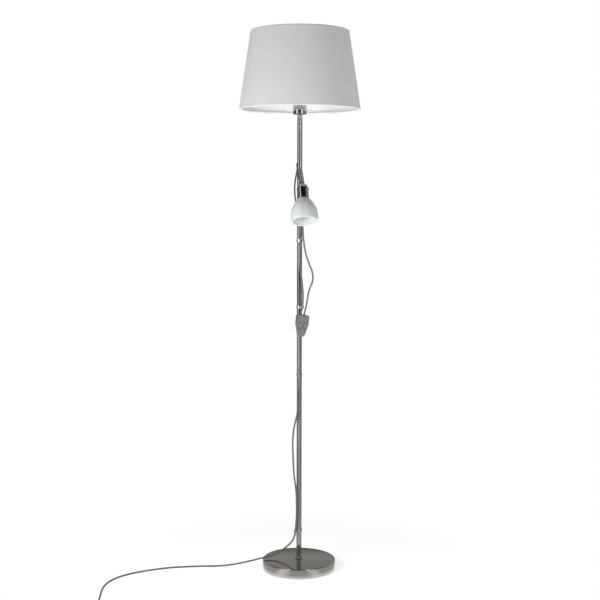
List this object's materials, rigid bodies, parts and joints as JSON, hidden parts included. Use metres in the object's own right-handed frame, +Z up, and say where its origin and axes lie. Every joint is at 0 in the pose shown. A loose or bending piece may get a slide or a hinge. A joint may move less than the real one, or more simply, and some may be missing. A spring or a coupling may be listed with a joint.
{
  "type": "pharmacy floor lamp",
  "caption": "Floor lamp with a slim pole on a heavy round base, a tapered drum shade facing all round and a small adjustable glass reading lamp, switched separately on its lead.",
  "frame": {"origin": "on the floor under the middle of the round base", "axes": "+Z up along the pole, -Y towards the front, which the reading lamp faces, +X to the right seen from the front"},
  "size_m": [0.7276, 0.5729, 1.57],
  "materials": {
    "satin_nickel": "satin nickel plate",
    "bright_nickel": "polished nickel plate",
    "cast_iron": "cast, blackened",
    "foot_pad": "matt foam rubber",
    "zinc_steel": "zinc plated",
    "white_wire": "white powder coat",
    "brass": "bright",
    "holder_plastic": "moulded, satin",
    "bulb_metal": "rolled thread",
    "bulb_glass": "opal",
    "frosted_glass": "frosted opal",
    "clip_plastic": "clear",
    "switch_plastic": "silver grey moulding",
    "lead_sheath": "silver grey PVC",
    "inner_wire": "thin sleeve",
    "pin_metal": "nickel plated",
    "shade_fabric": "fine woven cotton",
    "shade_liner": "white styrene"
  },
  "bodies": {
    "stand": {"base_cover": "satin_nickel", "foot_collar": "satin_nickel", "pole_lower": "satin_nickel", "pole_middle": "satin_nickel", "pole_upper": "satin_nickel", "arm_tube": "satin_nickel", "arm_end_bush": "satin_nickel", "socket_cup": "bright_nickel", "base_weight": "cast_iron", "base_pad": "foot_pad", "base_washer": "zinc_steel", "base_nut": "zinc_steel", "foot_nipple": "zinc_steel", "foot_insert": "zinc_steel", "top_nipple": "zinc_steel", "pole_top_insert": "zinc_steel", "pole_coupler_lower": "zinc_steel", "pole_coupler_upper": "zinc_steel", "switch_screws": "zinc_steel", "shade_spider": "white_wire", "shade_top_ring": "white_wire", "lampholder_shell": "brass", "lampholder_contact": "brass", "switch_contacts": "brass", "lampholder_body": "holder_plastic", "shade_ring_lower": "holder_plastic", "shade_ring_upper": "holder_plastic", "bulb_cap": "bulb_metal", "bulb_glass": "bulb_glass", "cable_clip_1": "clip_plastic", "cable_clip_2": "clip_plastic", "cable_clip_3": "clip_plastic", "cable_clip_4": "clip_plastic", "switch_front_shell": "switch_plastic", "switch_back_shell": "switch_plastic", "lamp_lead": "lead_sheath", "reading_lead": "lead_sheath", "mains_lead": "lead_sheath", "mains_coil": "lead_sheath", "plug_body": "lead_sheath", "switch_lead_nubs": "lead_sheath", "lamp_lead_outlet": "lead_sheath", "reading_lead_outlet": "lead_sheath", "lamp_wires": "inner_wire", "reading_wires": "inner_wire", "plug_pins": "pin_metal", "shade_fabric": "shade_fabric", "shade_liner": "shade_liner"},
    "swivel": {"swivel_stem": "bright_nickel"},
    "reading_head": {"tilt_pin": "bright_nickel", "reading_cup": "bright_nickel", "reading_lampholder": "holder_plastic", "reading_thread_shell": "brass", "reading_contact": "brass", "glass_ring": "holder_plastic", "glass_shade": "frosted_glass", "reading_bulb_cap": "bulb_metal", "reading_bulb_glass": "bulb_glass"},
    "left_rocker": {"rocker_left": "switch_plastic"},
    "right_rocker": {"rocker_right": "switch_plastic"}
  },
  "joints": [
    {"name": "reading_swivel", "type": "hinge", "parent": "stand", "child": "swivel", "pos_m": [0.00868, -0.04924, 1.121], "axis": [0.1143, -0.6481, -0.7529], "range_deg": [-120, 120]},
    {"name": "reading_tilt", "type": "hinge", "parent": "swivel", "child": "reading_head", "pos_m": [0.00868, -0.04924, 1.121], "axis": [-0.9848, -0.1736, 0], "range_deg": [-14, 45]},
    {"name": "left_rocker_press", "type": "hinge", "parent": "stand", "child": "left_rocker", "pos_m": [0.00134, -0.02817, 0.72678], "axis": [0.9606, 0.2574, -0.1045], "range_deg": [0, 14]},
    {"name": "right_rocker_press", "type": "hinge", "parent": "stand", "child": "right_rocker", "pos_m": [0.01575, -0.02431, 0.72522], "axis": [0.9606, 0.2574, -0.1045], "range_deg": [0, 14]}
  ]
}
